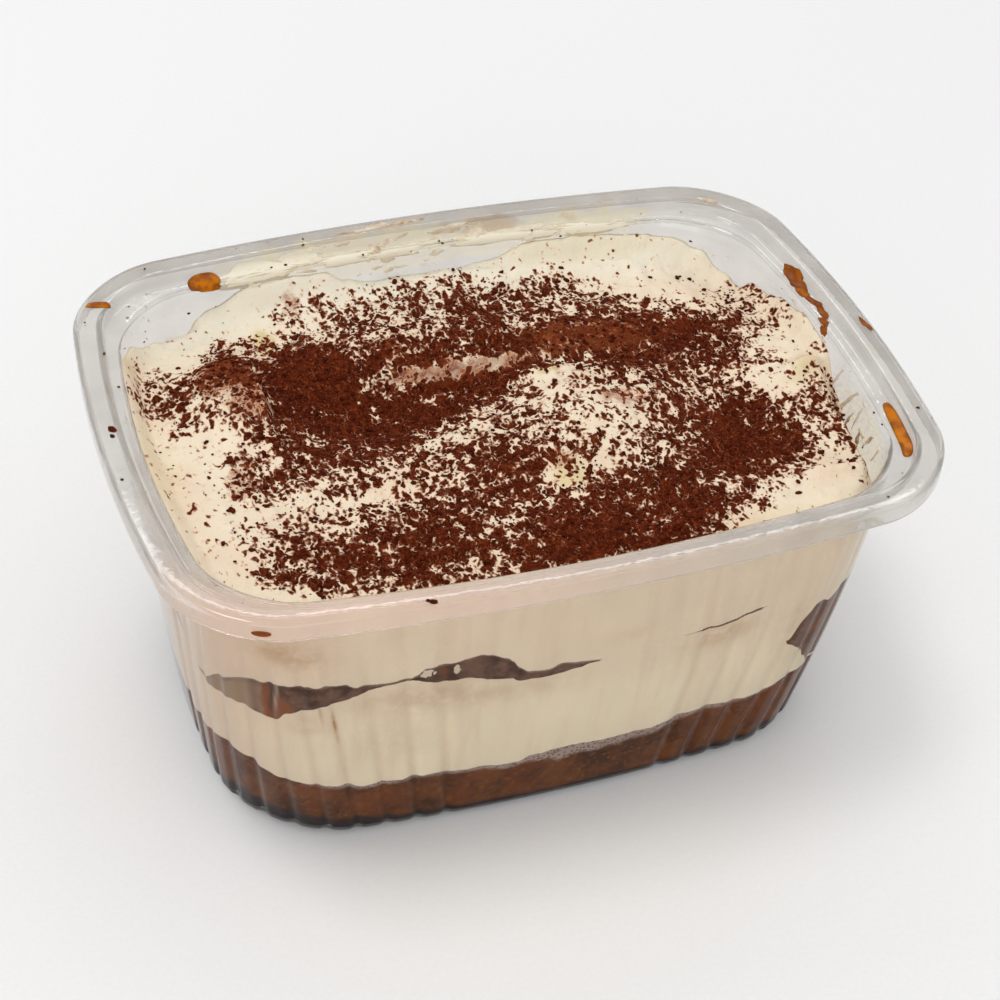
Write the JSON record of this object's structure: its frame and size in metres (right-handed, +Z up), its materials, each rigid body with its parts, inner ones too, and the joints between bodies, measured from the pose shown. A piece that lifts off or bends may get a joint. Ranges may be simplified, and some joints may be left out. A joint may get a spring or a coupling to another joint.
{
  "type": "tiramisu in a tub",
  "caption": "Layered tiramisu of pale cream and coffee-soaked sponge dusted with cocoa, in its clear fluted rectangular plastic tub with a flanged rim.",
  "frame": {"origin": "middle of the tub's base, on the surface it stands on", "axes": "+X along the tub's long side, -Y out of the front wall, +Z up"},
  "size_m": [0.139, 0.103, 0.0648],
  "materials": {
    "clear_plastic": "thin clear polypropylene, glossy",
    "wet_sponge": "coffee-soaked sponge, moist",
    "middle_sponge": "coffee-soaked sponge under a film of cream",
    "cream": "whipped mascarpone cream, satin"
  },
  "bodies": {
    "root": {"tub": "clear_plastic", "sponge_base": "wet_sponge", "cream_lower": "cream", "sponge_middle": "middle_sponge", "cream_top": "cream"}
  },
  "joints": []
}
